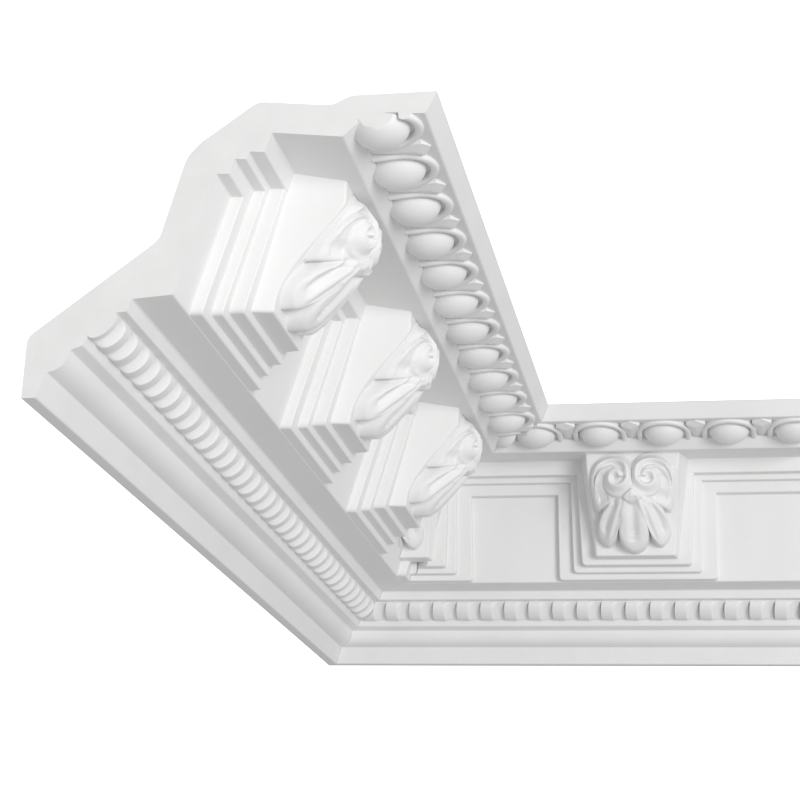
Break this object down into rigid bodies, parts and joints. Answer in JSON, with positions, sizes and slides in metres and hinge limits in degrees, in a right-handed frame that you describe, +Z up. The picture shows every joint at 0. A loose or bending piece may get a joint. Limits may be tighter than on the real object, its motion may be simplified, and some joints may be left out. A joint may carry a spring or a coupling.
{
  "type": "modillion cornice moulding with mitred inside corner",
  "caption": "Egg-and-dart cornice moulding with scrolled modillions, stepped frames and a bead row, as two cast lengths mitred in an inside corner.",
  "frame": {"origin": "middle of the left length's flat that bears on the ceiling, in the plane of the ceiling", "axes": "+Z up to the ceiling, +Y along the left length towards the inside corner, +X out from the left wall and along the right length"},
  "size_m": [0.4059, 0.7334, 0.164],
  "materials": {
    "cast_white": "smooth moulded white, factory primed, matte"
  },
  "bodies": {
    "root": {"left_length": "cast_white", "right_length": "cast_white"}
  },
  "joints": []
}
